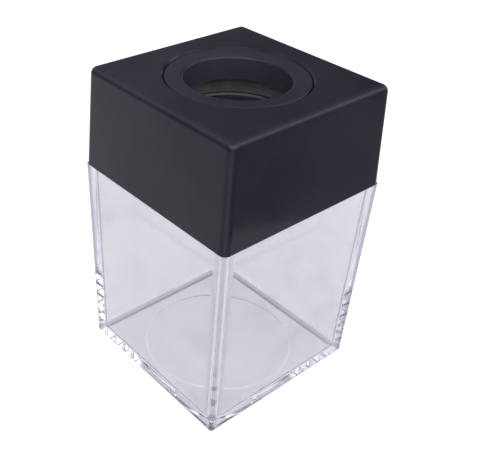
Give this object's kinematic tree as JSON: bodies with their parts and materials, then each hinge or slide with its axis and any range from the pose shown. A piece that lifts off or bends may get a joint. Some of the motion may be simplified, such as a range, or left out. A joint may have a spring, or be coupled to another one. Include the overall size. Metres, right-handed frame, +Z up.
{
  "type": "magnetic paper clip holder",
  "caption": "Square desk box for paper clips: clear tapered base, black lift-off lid with a round throat, and a ring magnet under a flanged bezel that holds clips at the mouth",
  "frame": {"origin": "centre of the underside, on the surface that the holder stands on", "axes": "+Z up through the throat; X and Y square to the four side walls"},
  "size_m": [0.045, 0.045, 0.071],
  "materials": {
    "clear_plastic": "clear, polished moulding",
    "black_plastic": "satin gloss moulding",
    "ferrite": "matt, sintered"
  },
  "bodies": {
    "box": {"clear_box": "clear_plastic"},
    "lid": {"lid_shell": "black_plastic", "throat_bezel": "black_plastic", "ring_magnet": "ferrite"}
  },
  "joints": [
    {"name": "lid_lift", "type": "slide", "parent": "box", "child": "lid", "axis": [0, 0, 1], "range_m": [0, 0.03]}
  ]
}
